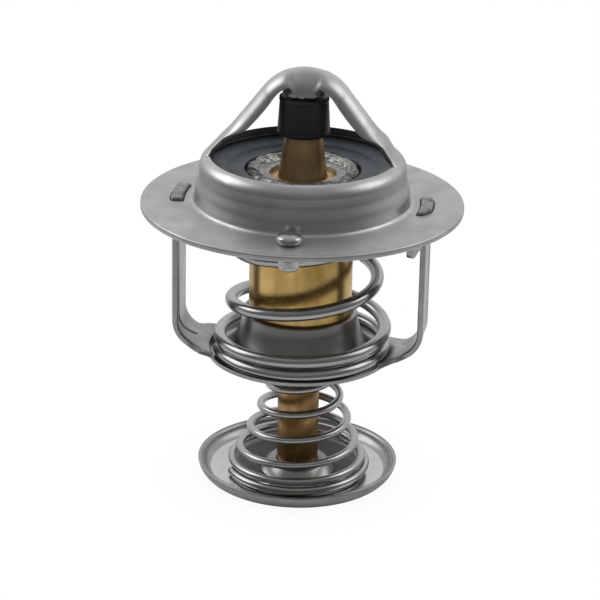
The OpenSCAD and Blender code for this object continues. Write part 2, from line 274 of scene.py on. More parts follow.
def make_mesh(name, points, faces, caps=(), merge=True, outward=True, attribute=None):
    """Object from points in millimetres. Unless told otherwise it merges doubles, deletes loose edges
    and turns the faces outwards."""
    mesh = bpy.data.meshes.new(name)
    mesh.from_pydata((points.reshape(-1, 3) * MM).tolist(), [], faces.tolist() + [list(c) for c in caps])
    if attribute is not None:
        store = mesh.attributes.new("wire", "FLOAT_VECTOR", "POINT")
        store.data.foreach_set("vector", attribute.astype(np.float32).ravel())
    work = bmesh.new()
    work.from_mesh(mesh)
    if merge:
        bmesh.ops.remove_doubles(work, verts=work.verts, dist=2e-7)
        loose = [e for e in work.edges if not e.link_faces]
        bmesh.ops.delete(work, geom=loose, context="EDGES")
    if outward:
        bmesh.ops.recalc_face_normals(work, faces=work.faces)
    work.to_mesh(mesh)
    work.free()
    mesh.shade_smooth()
    obj = bpy.data.objects.new(name, mesh)
    bpy.context.scene.collection.objects.link(obj)
    return obj


def turned(name, outline, closed=True, sides=144, warp=None, centre=(0, 0)):
    """Outline of radius and height turned about the axis. It is warped where a function is given for that,
    and then moved sideways where another centre is given."""
    angle = np.linspace(0, TURN, sides, endpoint=False)[:, None]
    points = at_angle(outline[:, 0][None], outline[:, 1][None] + 0 * angle, angle)
    if warp is not None:
        points = warp(points, angle)
    return make_mesh(name, points + np.array([*centre, 0]), grid_faces(sides, len(outline), True, closed))


def loft(name, loops):
    """Closed body through a stack of closed loops with the same number of points, with flat ends."""
    rows, columns = loops.shape[:2]
    first = range(columns)
    last = range((rows - 1) * columns, rows * columns)
    return make_mesh(name, loops, grid_faces(rows, columns, False, True), (first, last))


def wire(name, path, wire_r, sides=22):
    """Round wire of a radius along a path about the axis. A ring stands square to the path at each
    point, and the rings at both ends shrink to a point along a quarter of an ellipse. An attribute holds
    the direction round the wire and the length along it, so that drawing marks can follow the wire."""
    end_rings, end_push, mark_scale = 4, 0.25, 0.12
    along = unit(np.gradient(path, axis=0))
    end = np.linspace(0, 1, end_rings + 1)[:-1] * math.pi / 2
    size = np.concatenate([np.sin(end), np.ones(len(path)), np.sin(end)[::-1]])
    push = end_push * wire_r * np.cos(end)[:, None]
    middle = np.concatenate([path[0] - along[0] * push, path, path[-1] + along[-1] * push[::-1]])
    along = np.concatenate([np.repeat(along[:1], end_rings, 0), along, np.repeat(along[-1:], end_rings, 0)])
    radial = unit(middle * np.array([1, 1, 0]))
    across = unit(radial - along * (radial * along).sum(1, keepdims=True))
    up = np.cross(along, across)
    a = np.linspace(0, TURN, sides, endpoint=False)[None, :, None]
    around = np.cos(a) * across[:, None] + np.sin(a) * up[:, None]
    rings = middle[:, None] + wire_r * size[:, None, None] * around
    run = running_length(middle)[:, None] * mark_scale
    mark = np.stack(np.broadcast_arrays(np.cos(a[..., 0]), np.sin(a[..., 0]), run), -1)
    return make_mesh(name, rings, grid_faces(len(middle), sides, False, True), attribute=mark)


def modifier(obj, kind, **values):
    """Adds a modifier with the given values."""
    made = obj.modifiers.new(kind.lower(), kind)
    for key, value in values.items():
        setattr(made, key, value)


def bevel(obj, width, degrees):
    """Rounds the edges that are sharper than an angle."""
    modifier(obj, "BEVEL", width=width * MM, segments=3, limit_method="ANGLE",
             angle_limit=math.radians(degrees))


def place(obj, body, slot, look, *nodes):
    """Gives a piece its material and its body, and lets it stand for nodes of the frame. The slot is not
    used.
    """
    obj.data.materials.append(finish(look))
    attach(obj, body)
    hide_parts(*nodes)
    return obj


def repaint(obj, look, chosen):
    """Gives a further material to the faces that a test picks by their middles and outward directions."""
    mesh = obj.data
    mesh.materials.append(finish(look))
    middle = np.empty((len(mesh.polygons), 3), np.float32)
    outward = np.empty((len(mesh.polygons), 3), np.float32)
    mesh.polygons.foreach_get("center", middle.ravel())
    mesh.polygons.foreach_get("normal", outward.ravel())
    index = np.empty(len(mesh.polygons), np.int32)
    mesh.polygons.foreach_get("material_index", index)
    index[chosen(middle / MM, outward)] = len(mesh.materials) - 1
    mesh.polygons.foreach_set("material_index", index)


# Node trees

def fill(tree, target, inputs):
    """Gives a node's inputs, by name or number, a value or a link."""
    for key, value in inputs.items():
        if isinstance(value, bpy.types.NodeSocket):
            tree.links.new(value, target.inputs[key])
        else:
            target.inputs[key].default_value = value


def add_node(tree, kind, inputs, **settings):
    """Adds a node with its settings and its inputs, and gives its outputs."""
    made = tree.nodes.new("ShaderNode" + kind)
    for key, value in settings.items():
        setattr(made, key, value)
    fill(tree, made, inputs)
    return made.outputs


def joined(tree, operation, a, b, clamp=False):
    """Two values joined by an operation."""
    return add_node(tree, "Math", {0: a, 1: b}, operation=operation, use_clamp=clamp)[0]


def level(tree, source, come, go):
    """Smooth step of a value from one pair of levels to another."""
    inputs = {"Value": source, "From Min": come[0], "From Max": come[1], "To Min": go[0], "To Max": go[1]}
    return add_node(tree, "MapRange", inputs, interpolation_type="SMOOTHSTEP")["Result"]


# Materials

# Name of a material: its colour, the dark colour as a share of it, lowest and highest roughness, scale
# and strength of the cloud pattern, scale and strength of the fine lines, height in millimetres, and
# where they differ from 1 and from object coordinates, how metallic it is and the attribute it follows.
LOOKS = {
    "satin sheet steel": ("steel", 0.66, (0.28, 0.44), (150, 0.38), (500, 0.10), 0.006),
    "matt flange steel": ("steel", 0.72, (0.46, 0.58), (150, 0.32), (500, 0.10), 0.006),
    "dull inside": ("inside", 0.7, (0.35, 0.5), (200, 0.3), (500, 0.1), 0.004),
    "cage steel": ("cage", 0.72, (0.24, 0.38), (200, 0.28), (400, 0.10), 0.005),
    "hammered steel": ("beaten", 0.6, (0.32, 0.5), (900, 0.7), (1600, 0.4), 0.05),
    "slot shadow": ("gap", 0.8, (0.6, 0.7), (300, 0.2), (900, 0.1), 0.002),
    "drawn wire": ("wire", 0.72, (0.17, 0.28), (0.5, 0.2), ((5, 5, 1), 0.3), 0.003, 1.0, "wire"),
    "slate grey steel": ("slate", 0.7, (0.34, 0.48), (260, 0.3), (600, 0.12), 0.006),
    "rolled steel": ("crimp", 0.45, (0.30, 0.5), (2200, 0.7), (6000, 0.5), 0.035),
    "streaked brass": ("cup", (0.58, 0.52, 0.42), (0.22, 0.36), (110, 0.5), ((700, 700, 25), 0.28), 0.003),
    "brown brass": ("guide", (0.6, 0.55, 0.5), (0.34, 0.5), (200, 0.6), ((900, 900, 90), 0.3), 0.008),
    "black rubber": ("boot", 0.6, (0.34, 0.46), (500, 0.3), (1200, 0.15), 0.005, 0.0),
    "bright disc steel": ("disc", 0.8, (0.10, 0.22), (180, 0.3), (900, 0.1), 0.004),
    "dull disc steel": ("lip", 0.75, (0.24, 0.36), (180, 0.3), (900, 0.1), 0.004),
    "stem brass": ("stem", (0.6, 0.55, 0.48), (0.26, 0.42), (240, 0.6), ((800, 800, 120), 0.4), 0.012),
    "bright pin steel": ("pin", 0.7, (0.16, 0.30), (700, 0.35), (1500, 0.2), 0.008),
    "ground steel": ((0.62, 0.63, 0.64), 0.8, (0.12, 0.2), (300, 0.2), ((900, 900, 40), 0.2), 0.003),
    "clip steel": ("wire", 0.7, (0.2, 0.35), (400, 0.3), (900, 0.2), 0.006),
    "sleeve rubber": ((0.02, 0.02, 0.022), 0.6, (0.4, 0.55), (400, 0.3), (1500, 0.3), 0.01, 0.0),
    "white washer": ((0.78, 0.78, 0.76), 0.9, (0.3, 0.4), (400, 0.2), (1500, 0.2), 0.004, 0.0),
    "wax": ((0.66, 0.58, 0.40), 0.8, (0.35, 0.5), (200, 0.4), (900, 0.3), 0.02, 0.0),
}


def surface_group():
    """Group that breaks up a surface. A soft cloud pattern mixes the two colours and moves the
    roughness, and a fine pattern, stretched by the scale of its vector, gives lines and a height."""
    if "broken_surface" in bpy.data.node_groups:
        return bpy.data.node_groups["broken_surface"]
    group = bpy.data.node_groups.new("broken_surface", "ShaderNodeTree")
    for side, name, kind, value in (
            ("INPUT", "Cloud Vector", "Vector", None), ("INPUT", "Line Vector", "Vector", None),
            ("INPUT", "Light", "Color", None), ("INPUT", "Dark", "Color", None),
            ("INPUT", "Cloud", "Float", 0.5), ("INPUT", "Lines", "Float", 0.3),
            ("INPUT", "Smooth", "Float", 0.2), ("INPUT", "Rough", "Float", 0.4),
            ("OUTPUT", "Color", "Color", None), ("OUTPUT", "Roughness", "Float", None),
            ("OUTPUT", "Height", "Float", None)):
        made = group.interface.new_socket(name=name, in_out=side, socket_type="NodeSocket" + kind)
        if value is not None:
            made.default_value = value
    given = group.nodes.new("NodeGroupInput").outputs
    cloud = add_node(group, "TexNoise", {
        "Vector": given["Cloud Vector"], "Scale": 1.0, "Detail": 2.5, "Distortion": 0.8})["Fac"]
    line = add_node(group, "TexNoise", {
        "Vector": given["Line Vector"], "Scale": 1.0, "Detail": 1.0, "Distortion": 0.0})["Fac"]
    cloud_part = joined(group, "MULTIPLY", joined(group, "SUBTRACT", cloud, 0.5), given["Cloud"])
    line_part = joined(group, "MULTIPLY", joined(group, "SUBTRACT", line, 0.5), given["Lines"])
    middle = joined(group, "ADD", joined(group, "MULTIPLY", cloud_part, 4), 0.5)
    mask = joined(group, "ADD", middle, joined(group, "MULTIPLY", line_part, 3), True)
    mix = add_node(group, "Mix", {
        "Factor": mask, "A": given["Dark"], "B": given["Light"]}, data_type="RGBA")
    spread = add_node(group, "MapRange", {
        "Value": mask, "To Min": given["Rough"], "To Max": given["Smooth"]})
    half_cloud, half_line = (joined(group, "MULTIPLY", pattern, 0.5) for pattern in (cloud, line))
    raised = joined(group, "ADD", half_cloud, half_line)
    fill(group, group.nodes.new("NodeGroupOutput"), {
        "Color": mix["Result"], "Roughness": spread["Result"], "Height": raised})
    return group


def new_finish(name, light, dark, rough, cloud, lines, bump, metallic=1.0, attribute=None):
    """Material whose colour, roughness and height come from the broken surface group. Light is a
    colour or the name of one in the scene's colours, and the dark colour is light times dark."""
    made = bpy.data.materials.new(name)
    made.use_nodes = True
    tree = made.node_tree
    if isinstance(light, str):
        light = tuple(getattr(bpy.context.scene.thermostat_colours, light))
    if attribute:
        vector = add_node(tree, "Attribute", {}, attribute_name=attribute)["Vector"]
    else:
        vector = add_node(tree, "TexCoord", {})["Object"]
    inputs = {
        "Light": (*light, 1), "Dark": (*(np.array(light) * np.array(dark)), 1),
        "Cloud": cloud[1], "Lines": lines[1], "Smooth": rough[0], "Rough": rough[1]}
    for socket, scale in (("Cloud Vector", cloud[0]), ("Line Vector", lines[0])):
        scale = scale if isinstance(scale, tuple) else (scale,) * 3
        inputs[socket] = add_node(tree, "Mapping", {"Vector": vector, "Scale": scale})["Vector"]
    broken = add_node(tree, "Group", inputs, node_tree=surface_group())
    raised = add_node(tree, "Bump", {"Strength": 1.0, "Distance": bump * MM, "Height": broken["Height"]})
    fill(tree, tree.nodes["Principled BSDF"], {
        "Metallic": metallic, "Base Color": broken["Color"], "Roughness": broken["Roughness"],
        "Normal": raised["Normal"]})
    return made


def finish(name):
    """The material of a name in the table of looks, made when it is first asked for."""
    return bpy.data.materials.get(name) or new_finish(name, *LOOKS[name])


# Housing

def shoulder_centre(s):
    """Centre of the arc of the dome's shoulder, as radius and height."""
    rim = np.array([s["shoulder_radius"], s["rim_height"]])
    return rim - s["shoulder_bend"] * np.array([1, math.sin(SHOULDER_END)])


def shoulder(s, inward=0.0):
    """Arc of the dome's shoulder from the wall to the rim, moved inwards by part of the sheet."""
    a = np.linspace(0, SHOULDER_END, 14)
    return shoulder_centre(s) + (s["shoulder_bend"] - inward) * np.stack([np.cos(a), np.sin(a)], -1)


def dome_outline(s):
    """Section of flange and dome: underside, edge with a faint ring, outer wall, shoulder, round lip and
    inner face."""
    edge, wall, neck, t = reach("flange_bridge"), s["dome_radius"], s["shoulder_radius"], s["sheet"]
    ring, ring_half, ring_deep = 24.55, 0.25, 0.05
    lower = rounded([
        (wall - t, -t, 0.4), (edge, -t, 0.15), (edge, 0, 0.28), (ring + ring_half, 0, 0.1),
        (ring, -ring_deep, 0.1), (ring - ring_half, 0, 0.1), (wall, 0, 1.25), (wall - 0.08, 2.5, 0.75),
        (neck + 0.05, 4.3, 0.75), (neck, 5.4, 0.1)], 9)[9:-9]
    inner = rounded([
        (neck - t, 4.2, 0.1), (neck - t, 3.1, 0.5), (wall - t, 2.2, 0.5), (wall - t, -t, 0.3)], 9)[2:-2]
    out, back = shoulder(s), shoulder(s, t)[::-1]
    middle = (out[-1] + back[0]) / 2
    lip = rounded([
        (*out[-2], 0), (*out[-1], 0.22), (*middle, 0.02), (*back[0], 0.22), (*back[1], 0)], 5)[7:-7]
    return np.concatenate([lower, out[:-1], lip, back[1:], inner])


def dome_face(s, share):
    """Point and downward slope on the shoulder's arc. Share runs from 0 at the rim to 1 at the wall."""
    a = SHOULDER_END * (1 - share)
    out = np.stack([np.cos(a), np.sin(a)], -1)
    return shoulder_centre(s) + s["shoulder_bend"] * out, np.stack([out[:, 1], -out[:, 0]], -1)


def opened_rim(points, angle):
    """Slides the rim down the shoulder's arc where a foot of the bridge stands, by an ellipse in the
    angle from the foot's middle, so that the sheet runs up into the foot and not across under it."""
    centre = shoulder_centre(sizes())
    r, z = radius(points), points[..., 2]
    turn = np.arcsin(np.sin(angle))
    share = FOOT_SHARE * np.sqrt(np.clip(1 - (turn / FOOT_SPREAD) ** 2, 0, 1))
    from_centre = np.hypot(r - centre[0], z - centre[1])
    a = np.arctan2(z - centre[1], r - centre[0])
    on_arc = (a > 0) & (z > centre[1])
    a = np.where(on_arc, a * (1 - share), a)
    new_r = np.where(on_arc, centre[0] + from_centre * np.cos(a), r)
    new_z = np.where(on_arc, centre[1] + from_centre * np.sin(a), z)
    return at_angle(new_r, new_z, angle)


def bridge_skin(s):
    """Outer skin of the bridge, station by station from foot to foot. A station is about half an ellipse
    square to the bridge's crest. Over the crown the stations fan out, and half their width is the softer
    larger one of waist and boss: half of the sum of both and of the root of their squared difference
    plus a constant. At a foot each line of the skin is a cubic that leaves the leg along it and lands
    flat on the dome."""
    bend = np.linspace(-1, 1, 61) * math.pi / 2  # from one edge of the skin over the crest to the other
    bend_r, wide = s["crown_radius"], s["bridge_width"] / 2
    boss_r, softness = s["boss_radius"] - 0.3, 1.1
    leg_long, leave_speed, land_speed, proud = 12.5, 2.0, 1.5, 0.015
    full = s["bridge_depth"] + 0.12
    centre = np.array([0, top("flange_bridge") - bend_r])
    run = np.array([math.cos(LEG_SLOPE), -math.sin(LEG_SLOPE)])
    out = np.array([math.sin(LEG_SLOPE), math.cos(LEG_SLOPE)])

    def station(crest, spoke, depth, half_width):
        """Across by the sine of the bend, and down the spoke by a power of 1 less its cosine."""
        y = half_width[:, None] * np.sin(bend)
        drop = depth[:, None] * (1 - np.cos(bend)) ** 0.9
        return np.stack([crest[:, :1] - spoke[:, :1] * drop, y, crest[:, 1:] - spoke[:, 1:] * drop], -1)

    def thinner(arc):
        """What the depth loses past the boss, which comes back along the leg."""
        return 0.62 * smooth(arc, 2.2, 3.5) * smooth(arc, 14, 4)

    # The crown: narrower and deeper at its middle, and widened round the boss
    u = np.linspace(0, 1, 40)
    spoke = np.stack([np.sin(LEG_SLOPE * u), np.cos(LEG_SLOPE * u)], -1)
    arc = u * bend_r * LEG_SLOPE
    waist = wide - 0.65 * smooth(arc, 4.6, 0)
    depth = full - thinner(arc) + 1.25 * smooth(arc, 3.6, 1.8)
    crown = station(centre + bend_r * spoke, spoke, depth, waist)
    waist = waist[:, None]
    boss = np.sqrt(np.clip(boss_r ** 2 - crown[..., 0] ** 2, 0, None))
    crown[..., 1] *= (waist + boss + np.sqrt((waist - boss) ** 2 + softness)) / (2 * waist)

    # The leg: straight, and flatter towards the foot
    along = np.linspace(0, leg_long, 40)[1:]
    spoke = np.repeat(out[None], len(along), 0)
    depth = full - thinner(along + bend_r * LEG_SLOPE)
    depth -= 0.55 * smooth(along, 0, 8.5) + 1.9 * smooth(along, 6.4, 10.6)
    leg = station(centre + bend_r * out + run * along[:, None], spoke, depth, wide + 0 * along)

    # The foot: cubics from the leg's end to the rounded opening in the dome's shoulder
    spread = FOOT_SPREAD * np.sin(bend)
    flat, fall = dome_face(s, FOOT_SHARE * np.cos(bend) + 0.10)
    flat = flat + proud * np.stack([-fall[:, 1], fall[:, 0]], -1)
    landing = at_angle(flat[:, 0], flat[:, 1], spread)
    arrive = at_angle(fall[:, 0], fall[:, 1], spread) * land_speed
    leave = np.array([run[0], 0, run[1]]) * leave_speed
    t = np.linspace(0, 1, 12)[1:, None, None]
    foot = ((2 * t ** 3 - 3 * t ** 2 + 1) * leg[-1] + (t ** 3 - 2 * t ** 2 + t) * leave
            + (3 * t ** 2 - 2 * t ** 3) * landing + (t ** 3 - t ** 2) * arrive)

    # Both halves, with the upper part moved a little to the right as in the photograph
    right = np.concatenate([crown, leg, foot])
    left = right[:0:-1] * np.array([-1, 1, 1])
    skin = np.concatenate([left, right])
    skin[..., 0] += 0.3 * smooth(skin[..., 2], 8.5, 11.5)
    return skin


def burred(points, angle):
    """Ragged lower edge of the boss: its lowest millimetre goes in and out round the axis."""
    ragged, twist = 0.08, 0.5
    r, z = radius(points), points[..., 2]
    band = smooth(z, 19.0, 18.4) * smooth(r, 2.4, 2.8)
    push = 1 + band * (ragged * lumps(angle + twist * z, 21, 14, 5)) / np.maximum(r, 0.5)
    return points * np.stack([push, push, np.ones_like(push)], -1)


def dome_shade_faces(middle, outward):
    """True for the dome's faces within its wall that look in towards the axis or down, which get the
    painted shade.
    """
    wall, inwards, downwards = 16.6, -0.2, -0.3
    r = radius(middle)
    looks_in = (middle[:, :2] * outward[:, :2]).sum(1) < inwards * r
    return (looks_in | (outward[:, 2] < downwards)) & (r < wall)


def flange_top(middle, outward):
    """True for the flat upper face of the flange."""
    upwards, dome_foot = 0.9, 17.9
    return (outward[:, 2] > upwards) & (radius(middle) > dome_foot)


class THERMOSTAT_OT_housing(bpy.types.Operator):
    """Flange and dome in one sheet, the bridge over it and the boss that holds the piston"""

    bl_idname = "thermostat.housing"
    bl_label = "Flange and bridge"

    def execute(self, context):
        s = sizes()
        dome = turned("flange_dome", dome_outline(s), sides=480, warp=opened_rim)
        skin = bridge_skin(s)
        bridge = make_mesh("bridge", skin, grid_faces(*skin.shape[:2]), merge=False, outward=False)
        bridge.data.flip_normals()
        modifier(bridge, "SOLIDIFY", thickness=0.8 * MM, offset=-1, use_even_offset=True)
        bevel(bridge, 0.15, 50)
        r, high = s["boss_radius"] - 0.1, top("flange_bridge") - 0.9
        low_end, neck, bore, bore_end = 17.95, 2.1, 2.05, 19.6
        outline = rounded([
            (0, high, 0), (1.2, high, 0.1), (neck, high - 1.1, 0.1), (neck, 19.1, 0.1), (r, 18.9, 0.2),
            (r + 0.22, low_end + 0.45, 0.2), (r + 0.1, low_end, 0.2), (bore, low_end, 0.15),
            (bore, bore_end, 0), (0, bore_end, 0)])[9:-9]
        boss = turned("piston_boss", resampled(outline, 0.12), closed=False, sides=160, warp=burred)
        for piece in (dome, bridge, boss):
            place(piece, "housing", "sheet_steel", "satin sheet steel", "flange_bridge")
        # The dome's inner faces get painted shade, a near-black copy of the steel
        repaint(dome, "dull inside", dome_shade_faces)
        repaint(dome, "matt flange steel", flange_top)
        return {"FINISHED"}


# Cage

def arm_path(s):
    """Middle line of an arm as radius and height: straight down, a round bend, then in to the dish, with
    a short fall at the end."""
    bend_r, turn, bend_z = 4.5, math.radians(78), -20.4
    a = np.linspace(0, -turn, 24)
    down = np.stack([np.full(30, s["arm_radius"]), np.linspace(-s["sheet"], bend_z, 31)[:-1]], 1)
    bend = np.stack([s["arm_radius"] - bend_r + bend_r * np.cos(a), bend_z + bend_r * np.sin(a)], 1)
    r = np.linspace(bend[-1, 0], s["dish_radius"] - 0.15, 16)[1:]
    fall = (bend[-1, 0] - r) * math.tan(math.pi / 2 - turn) + 0.45 * smooth(r, 16.2, 14.8)
    run_in = np.stack([r, bend[-1, 1] - fall], 1)
    return np.concatenate([down, bend, run_in])


def arm_loops(s):
    """Sections of an arm: a flat rounded bar that flares out and follows the dish's circle at its inner
    end. A crease, whose depth is a bell curve across the bar, runs down it and wanders to its middle in
    the bend, where it ends, and the strip beside it is bent away."""
    path = arm_path(s)
    ahead = unit(np.gradient(path, axis=0))
    inward = np.stack([ahead[:, 1], -ahead[:, 0]], 1)
    thin, wide, edge_r = s["arm_sheet"] / 2, s["arm_width"] / 2, 0.2
    crease_deep, crease_wide, droop_slope, wider = 0.24, 0.34, 0.11, 0.62
    corners = [(x, y, edge_r) for x, y in ((-1, -thin), (1, -thin), (1, thin), (-1, thin))]
    section = resampled(rounded(corners, 5), 0.06)
    flare = 1 + wider * smooth(path[:, :1], 17.9, 14.5)
    y = section[:, 0][None] * wide * flare
    run = running_length(path)
    crease = (3.1 - 2.5 * smooth(run, 18, 26))[:, None]
    ends = smooth(run, 0, 2) * smooth(run, 25.4, 24.7)
    strip = smooth(run, 17, 22) * smooth(run, run[-1], run[-1] - 1.5)
    droop = droop_slope * strip[:, None] * np.clip(y - crease, 0, None)
    dent = crease_deep * ends[:, None] * np.exp(-((y - crease) / crease_wide) ** 2)
    depth = section[:, 1][None] - droop - dent * np.where(section[:, 1][None] > 0, 1, 0.7)
    r = path[:, :1] + inward[:, :1] * depth
    z = path[:, 1:] + inward[:, 1:] * depth
    pull = smooth(path[:, :1], 17.6, 15)
    x = r * (1 - pull) + pull * np.sqrt(np.clip(r ** 2 - y ** 2, 0, None))
    return np.stack([x, y, z], -1)


def lug_loops(s):
    """Lug beside an arm's top: a strip round the axis under the flange, whose lower edge is hollowed by
    a flat arch and ends in a rounded tooth. The outline is swept from root to tip."""
    start, end, level_z = 3.6, 8.75, -5.65
    arch_start, arch_long, arch_end = 3.4, 3.8, 7.2
    tooth_start, tooth_long, tooth_rise = 8.05, 0.7, 0.75
    y_top = start + (end - start) * np.linspace(0, 1, 56)
    arch = 0.45 * np.sin(np.clip((y_top - arch_start) / arch_long, 0, 1) * math.pi) ** 0.8
    reached = np.clip((y_top - tooth_start) / tooth_long, -1, 1)
    tooth = tooth_rise * np.where(y_top > tooth_start, 1 - np.sqrt(np.clip(1 - reached ** 2, 0, 1)), 0)
    z_low = level_z + np.where(y_top < arch_end, arch, 0) - 0.12 * smooth(y_top, 6.9, 7.9) + tooth
    rows = np.linspace(0, 1, 12)[None, :]
    y = y_top[:, None] + 0 * rows
    z = -s["sheet"] - 0.02 + (z_low[:, None] + s["sheet"]) * rows
    outer, inner = (at_angle(s["arm_radius"] + side * s["arm_sheet"] / 2, z, -y / s["arm_radius"])
                    for side in (1, -1))
    return np.concatenate([outer, inner[:, ::-1]], 1)


def tab_head(name, s, side, margin):
    """Staked head of a tab: a rounded box with its upper corners drawn in and a hammered top. The
    point's direction is raised to a small power, as in a superellipsoid. With a margin it is a dark
    sheet, level with the flange, painted as the shadow in the slot's gap round the head. The right
    one has a cut corner."""
    rows, columns = 29, 96
    half_wide, half_long, height = 1.05 + margin, 3.95 + margin, 0.02 if margin else 0.62
    lat = np.linspace(-math.pi / 2, math.pi / 2, rows)[:, None]
    lon = np.linspace(0, TURN, columns, endpoint=False)[None, :]

    def power(v, e):
        """Power that keeps the sign."""
        return np.sign(v) * np.abs(v) ** e

    x = power(np.cos(lat), 0.3) * power(np.cos(lon), 0.22)
    y = power(np.cos(lat), 0.3) * power(np.sin(lon), 0.22)
    z = power(np.sin(lat), 0.4) + 0 * lon
    lift = np.clip(z, 0, 1)
    points = np.stack([x * (half_wide - 0.1 * lift), y * (half_long - 0.12 * lift), z * height], -1)
    if not margin:
        points[..., 2] += lift * 0.06 * np.sin(points[..., 1] * 2.1 + side) * np.cos(points[..., 0] * 2.5)
    if side > 0:
        chip, chip_at = unit(np.array([0.85, -0.5])), 1.95 + margin
        over = np.clip(points[..., :2] @ chip - chip_at, 0, None)
        points[..., :2] -= over[..., None] * chip
    points[..., 0] += s["arm_radius"] + 0.1 - (points[..., 1] ** 2) / (2 * s["arm_radius"])
    return make_mesh(name, points * np.array([side, side, 1]), grid_faces(rows, columns, False, True))


class THERMOSTAT_OT_cage(bpy.types.Operator):
    """Cage of the main spring: two arms with lugs and staked tabs, the dish and its tall collar"""

    bl_idname = "thermostat.cage"
    bl_label = "Cage"

    def execute(self, context):
        s = sizes()
        edge, rim, under, collar_top = s["dish_radius"], DISH_FLOOR + 0.6, DISH_FLOOR - 0.75, -18.75
        outline = rounded([
            (edge - 0.45, DISH_FLOOR, 0.1), (edge - 0.24, rim, 0.1), (edge, rim, 0.1),
            (edge, DISH_FLOOR + 0.02, 0.1), (edge - 0.5, DISH_FLOOR - 0.25, 0.3), (13.2, under, 0.5),
            (12.2, under, 0.4), (11.0, -25.9, 0.8), (10.1, -24.0, 1.0), (9.3, -22.0, 1.2),
            (8.74, -20.4, 1.0), (8.7, collar_top, 0.15), (9.28, collar_top, 0.2), (9.5, -20.4, 1.0),
            (10.0, -22.2, 1.0), (10.85, -24.0, 1.0), (11.9, -25.4, 0.8), (13.0, DISH_FLOOR, 0.6)], 9)
        pieces = [(turned("cage_dish", outline, sides=200), "cage steel")]
        for side, word in ((1, "right"), (-1, "left")):
            flip = np.array([side, side, 1])
            arm = loft("cage_arm_" + word, arm_loops(s) * flip)
            lug = loft("cage_lug_" + word, lug_loops(s) * flip)
            bevel(lug, 0.14, 45)
            pieces += [
                (arm, "cage steel"),
                (lug, "cage steel"),
                (tab_head("tab_head_" + word, s, side, 0), "hammered steel"),
                (tab_head("tab_slot_" + word, s, side, 0.17), "slot shadow")]
        for piece, look in pieces:
            place(piece, "housing", "cage_steel", look, "lower_frame")
        return {"FINISHED"}


# Springs

def main_path(s):
    """Middle line of the main spring: close turns on the dish, open turns, and close ones on top. Height
    grows by a fixed pitch plus an extra one between two marks, and the first turn is let down on to the
    dish. The radius shrinks smoothly, and the open turns lean to one side by a smooth bump."""
    turns, start, close_pitch, more_pitch = 5.3, math.radians(195), 2.2, 6.68
    t = np.linspace(0, turns, 520)
    z = (DISH_FLOOR + s["main_wire"] / 2 + close_pitch * t
         + more_pitch * (ramp(t, 1.3, 1.6) - ramp(t, 3.76, 4.22)))
    z = z - 0.44 * np.clip(t / 0.2, 0, 1) * smooth(t, 1.9, 0.6)
    z = z + (top("main_spring") - s["main_wire"] / 2 - z[-1]) * smooth(t, 0, turns)
    r = 13.55 - 2.1 * smooth(t, 1.0, 2.6) - 0.6 * smooth(t, 2.6, 3.8)
    lean = 0.3 + 0.65 * smooth(t, 0.4, 2.0) * smooth(t, 4.2, 3.0)
    return at_angle(r, z, start + TURN * t) + lean[:, None] * np.array([1, 0, 0])


def bypass_path(s):
    """Middle line of the bypass spring: a cone of turns that narrows smoothly towards its seat."""
    turns, start, close_pitch, more_pitch, disc_sheet = 6.35, math.radians(205), 1.15, 2.7, 0.8
    t = np.linspace(0, turns, 560)
    base = low("bypass_disc") + disc_sheet + s["bypass_wire"] / 2
    z = base + close_pitch * t + more_pitch * (ramp(t, 0.9, 2.6) - ramp(t, 5.6, 6.1))
    z = z + (low("spring_seat") - s["bypass_wire"] / 2 - z[-1]) * smooth(t, 0, turns)
    r = 11.45 - 6.7 * smooth(t, -0.15, 6.35)
    lean = 0.05 + 0.62 * smooth(t, 0, 4.5)
    return at_angle(r, z, start + TURN * t) + lean[:, None] * np.array([1, 0, 0])


class THERMOSTAT_OT_springs(bpy.types.Operator):
    """Main spring and conical bypass spring"""

    bl_idname = "thermostat.springs"
    bl_label = "Springs"

    def execute(self, context):
        s = sizes()
        for name, path, width, body, joint, fixed, travel in (
                ("main_spring_wire", main_path(s), s["main_wire"], "housing", "element_lift",
                 low("main_spring"), 8.5),
                ("bypass_spring_wire", bypass_path(s), s["bypass_wire"], "element", "bypass_slide",
                 top("bypass_spring"), 3.5)):
            node = name.replace("_wire", "")
            piece = place(wire(name, path, width / 2), body, "spring_wire", "drawn wire", node)
            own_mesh(piece)
        return {"FINISHED"}


# Main valve

def rolled(points, angle):
    """Uneven rolled edge: the raised band of the ring goes up and down and in and out round the axis."""
    r, z = radius(points), points[..., 2]
    band = smooth(r, 6.8, 7.3) * smooth(r, 9.05, 8.8) * smooth(z, 4.75, 5.15)
    a = angle + 0 * r
    high = 0.10 * lumps(a + 0.13 * r, 4, 20, 9) + 0.07 * lumps(a - 0.4 * r, 9, 26, 40)
    side = 0.10 * lumps(a, 12, 20, 12)
    scale = 1 + band * side / r
    return np.stack([points[..., 0] * scale, points[..., 1] * scale, z + band * (high - 0.05)], -1)


